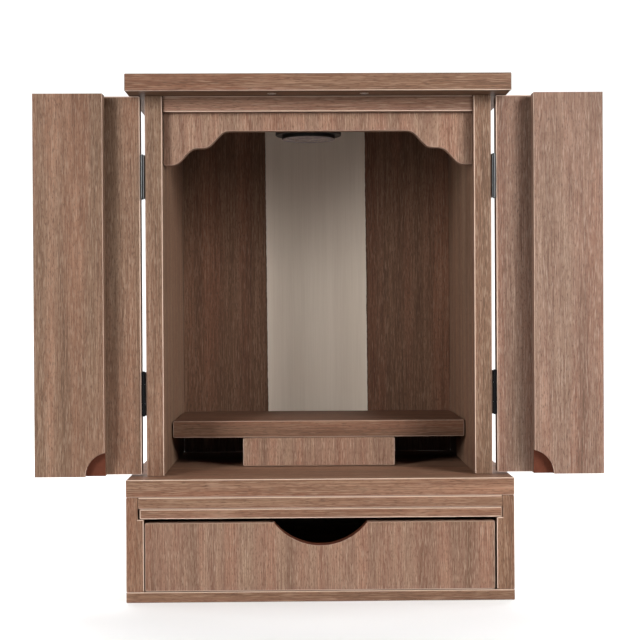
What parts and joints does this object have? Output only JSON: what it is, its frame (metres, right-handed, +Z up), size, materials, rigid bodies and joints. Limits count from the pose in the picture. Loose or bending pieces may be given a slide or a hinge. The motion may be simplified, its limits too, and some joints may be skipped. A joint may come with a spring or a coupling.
{
  "type": "household altar cabinet",
  "caption": "Small walnut-finish household altar cabinet: a lit niche with a shelf and scalloped valance behind folding doors, on a low case with a drawer and pull-out board.",
  "frame": {"origin": "on the floor, under the middle of the cabinet's box with both doors open", "axes": "+X to the right along the open doors, +Y to the back, +Z up"},
  "size_m": [0.4928, 0.22, 0.451],
  "materials": {
    "walnut_board": "satin walnut-grain laminate",
    "walnut_upright": "satin walnut-grain laminate, upright grain",
    "walnut_inside": "plain walnut-grain laminate",
    "dark_back": "dark walnut-grain sheet",
    "pale_strip": "pale grey-beige figured sheet",
    "black_hinge": "satin black",
    "lamp_body": "dark moulded plastic",
    "lamp_lens": "milky diffuser",
    "magnet": "bright plated"
  },
  "bodies": {
    "cabinet": {"top_board": "walnut_board", "head_rail": "walnut_board", "left_side_board": "walnut_board", "right_side_board": "walnut_board", "scalloped_valance": "walnut_upright", "back_board": "dark_back", "backdrop_strip": "pale_strip", "floor_board": "walnut_board", "shelf_board": "walnut_board", "shelf_stand_front": "walnut_upright", "shelf_stand_left": "walnut_inside", "shelf_stand_right": "walnut_inside", "lamp_base": "lamp_body", "lamp_lens": "lamp_lens", "left_door_magnet": "magnet", "right_door_magnet": "magnet", "case_bottom_board": "walnut_board", "case_left_side": "walnut_board", "case_right_side": "walnut_board", "case_top_board": "walnut_board", "case_back_board": "walnut_inside", "left_upper_hinge_cabinet_plate": "black_hinge", "left_lower_hinge_cabinet_plate": "black_hinge", "right_upper_hinge_cabinet_plate": "black_hinge", "right_lower_hinge_cabinet_plate": "black_hinge"},
    "drawer": {"drawer_front": "walnut_upright", "drawer_bottom": "walnut_inside", "drawer_left_side": "walnut_inside", "drawer_right_side": "walnut_inside", "drawer_back": "walnut_inside"},
    "pull_out": {"pull_out_board": "walnut_board"},
    "left_door": {"left_door_wide_leaf": "walnut_board", "left_upper_hinge_door_plate": "black_hinge", "left_upper_fold_hinge_wide_plate": "black_hinge", "left_lower_hinge_door_plate": "black_hinge", "left_lower_fold_hinge_wide_plate": "black_hinge"},
    "left_leaf": {"left_door_narrow_leaf": "walnut_board", "left_upper_fold_hinge_narrow_plate": "black_hinge", "left_lower_fold_hinge_narrow_plate": "black_hinge"},
    "right_door": {"right_door_wide_leaf": "walnut_board", "right_upper_hinge_door_plate": "black_hinge", "right_upper_fold_hinge_wide_plate": "black_hinge", "right_lower_hinge_door_plate": "black_hinge", "right_lower_fold_hinge_wide_plate": "black_hinge"},
    "right_leaf": {"right_door_narrow_leaf": "walnut_board", "right_upper_fold_hinge_narrow_plate": "black_hinge", "right_lower_fold_hinge_narrow_plate": "black_hinge"}
  },
  "joints": [
    {"name": "left_door_hinge", "type": "hinge", "parent": "cabinet", "child": "left_door", "pos_m": [-0.1527, -0.0884, 0.2711], "axis": [0, 0, 1], "range_deg": [0, 180]},
    {"name": "left_leaf_fold", "type": "hinge", "parent": "left_door", "child": "left_leaf", "pos_m": [-0.2447, -0.09, 0.2711], "axis": [0, 0, 1], "range_deg": [-180, 0]},
    {"name": "right_door_hinge", "type": "hinge", "parent": "cabinet", "child": "right_door", "pos_m": [0.1527, -0.0884, 0.2711], "axis": [0, 0, -1], "range_deg": [0, 180]},
    {"name": "right_leaf_fold", "type": "hinge", "parent": "right_door", "child": "right_leaf", "pos_m": [0.2447, -0.09, 0.2711], "axis": [0, 0, -1], "range_deg": [-180, 0]},
    {"name": "drawer_slide", "type": "slide", "parent": "cabinet", "child": "drawer", "axis": [0, -1, 0], "range_m": [0, 0.14]},
    {"name": "pull_out_slide", "type": "slide", "parent": "cabinet", "child": "pull_out", "axis": [0, -1, 0], "range_m": [0, 0.12]}
  ],
  "couplings": [
    {"joint": "left_leaf_fold", "follows": "left_door_hinge", "ratio": -1},
    {"joint": "right_leaf_fold", "follows": "right_door_hinge", "ratio": -1}
  ]
}
